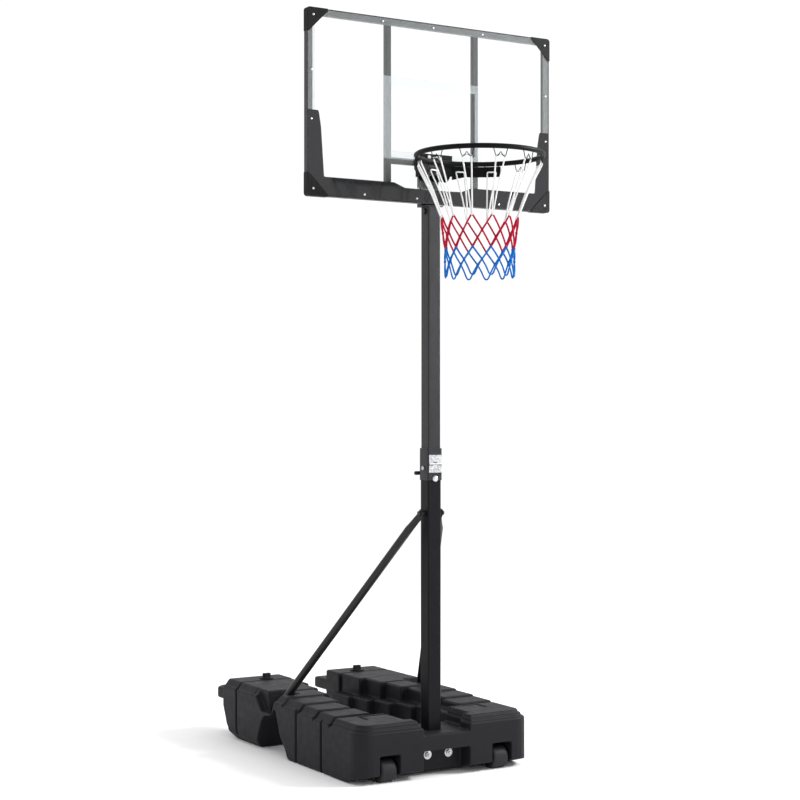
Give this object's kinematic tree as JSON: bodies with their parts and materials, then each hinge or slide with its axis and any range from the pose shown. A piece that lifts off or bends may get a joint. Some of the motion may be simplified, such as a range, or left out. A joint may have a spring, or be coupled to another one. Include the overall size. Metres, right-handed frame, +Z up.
{
  "type": "portable basketball hoop",
  "caption": "Free-standing basketball hoop with a fillable wheeled horseshoe base, telescoping square pole, rear struts, framed clear backboard, rim and net.",
  "frame": {"origin": "on the floor at the centre of the object's box", "axes": "+Z up along the pole, -Y towards the rim and the wheels, +X towards the right side seen from the front"},
  "size_m": [1.1186, 1.7784, 2.9303],
  "materials": {
    "tank_plastic": "blow-moulded black polyethylene with a fine satin grain",
    "cap_plastic": "moulded black plastic screw cap",
    "guard_plastic": "injection-moulded black plastic",
    "wheel_plastic": "solid moulded black wheel, lightly scuffed tread",
    "powder_coat": "satin black powder coat with a fine orange peel",
    "frame_coat": "satin black powder coat",
    "rim_coat": "semi-gloss black powder coat",
    "zinc": "bright zinc-plated steel",
    "clear_panel": "clear impact-resistant sheet with printed borders",
    "net_cord": "braided nylon cord in white, red and blue"
  },
  "bodies": {
    "stand": {"anchor_bolt_left": "zinc", "anchor_bolt_right": "zinc", "axle_left": "zinc", "axle_right": "zinc", "base_tank": "tank_plastic", "collar": "powder_coat", "collar_front_bolt": "zinc", "collar_side_bolt": "zinc", "latch_pin": "zinc", "latch_screw_1": "zinc", "latch_screw_2": "zinc", "latch_upper_leaf": "zinc", "lower_pole": "powder_coat", "pole_foot_plug": "guard_plastic", "strut_foot_bolt_left": "zinc", "strut_foot_bolt_right": "zinc", "strut_left": "powder_coat", "strut_right": "powder_coat", "strut_spacer_left": "powder_coat", "strut_spacer_right": "powder_coat", "strut_top_bolt_left": "powder_coat", "strut_top_bolt_right": "powder_coat"},
    "upper": {"board_bracket": "powder_coat", "board_panel": "clear_panel", "bracket_tie_bolt": "zinc", "corner_guard_lower_left": "guard_plastic", "corner_guard_lower_right": "guard_plastic", "corner_guard_upper_left": "guard_plastic", "corner_guard_upper_right": "guard_plastic", "frame_bottom": "frame_coat", "frame_left": "frame_coat", "frame_right": "frame_coat", "frame_top": "frame_coat", "net": "net_cord", "pole_top_bolt": "powder_coat", "rear_bar_left": "frame_coat", "rear_bar_right": "frame_coat", "rear_cross_tube": "frame_coat", "rim_apron": "rim_coat", "rim_bolt_1": "zinc", "rim_bolt_2": "zinc", "rim_bolt_3": "zinc", "rim_bolt_4": "zinc", "rim_mount_plate": "rim_coat", "rim_ring": "rim_coat", "upper_pole": "powder_coat", "upper_pole_plug": "guard_plastic"},
    "latch_leaf": {"latch_lower_leaf": "zinc", "latch_screw_3": "zinc", "latch_screw_4": "zinc"},
    "clamp": {"clamp_handle": "powder_coat"},
    "wheel_left": {"wheel_left": "wheel_plastic"},
    "wheel_right": {"wheel_right": "wheel_plastic"},
    "cap_left": {"fill_cap_left": "cap_plastic"},
    "cap_right": {"fill_cap_right": "cap_plastic"}
  },
  "joints": [
    {"name": "pole_height", "type": "slide", "parent": "stand", "child": "upper", "axis": [0, 0, 1], "range_m": [-0.36, 0.67]},
    {"name": "latch_swing", "type": "hinge", "parent": "stand", "child": "latch_leaf", "pos_m": [0, -0.33425, 1.207], "axis": [-1, 0, 0], "range_deg": [0, 85]},
    {"name": "clamp_turn", "type": "hinge", "parent": "stand", "child": "clamp", "pos_m": [0, -0.24575, 1.168], "axis": [0, 1, 0], "range_deg": [0, 720]},
    {"name": "wheel_left_spin", "type": "hinge", "parent": "stand", "child": "wheel_left", "pos_m": [-0.256, -0.36975, 0.044], "axis": [1, 0, 0], "continuous": true},
    {"name": "wheel_right_spin", "type": "hinge", "parent": "stand", "child": "wheel_right", "pos_m": [0.256, -0.36975, 0.044], "axis": [1, 0, 0], "continuous": true},
    {"name": "cap_left_turn", "type": "hinge", "parent": "stand", "child": "cap_left", "pos_m": [-0.226, 0.69025, 0.248], "axis": [0, 0, 1], "range_deg": [0, 540]},
    {"name": "cap_right_turn", "type": "hinge", "parent": "stand", "child": "cap_right", "pos_m": [0.226, 0.69025, 0.248], "axis": [0, 0, 1], "range_deg": [0, 540]}
  ]
}
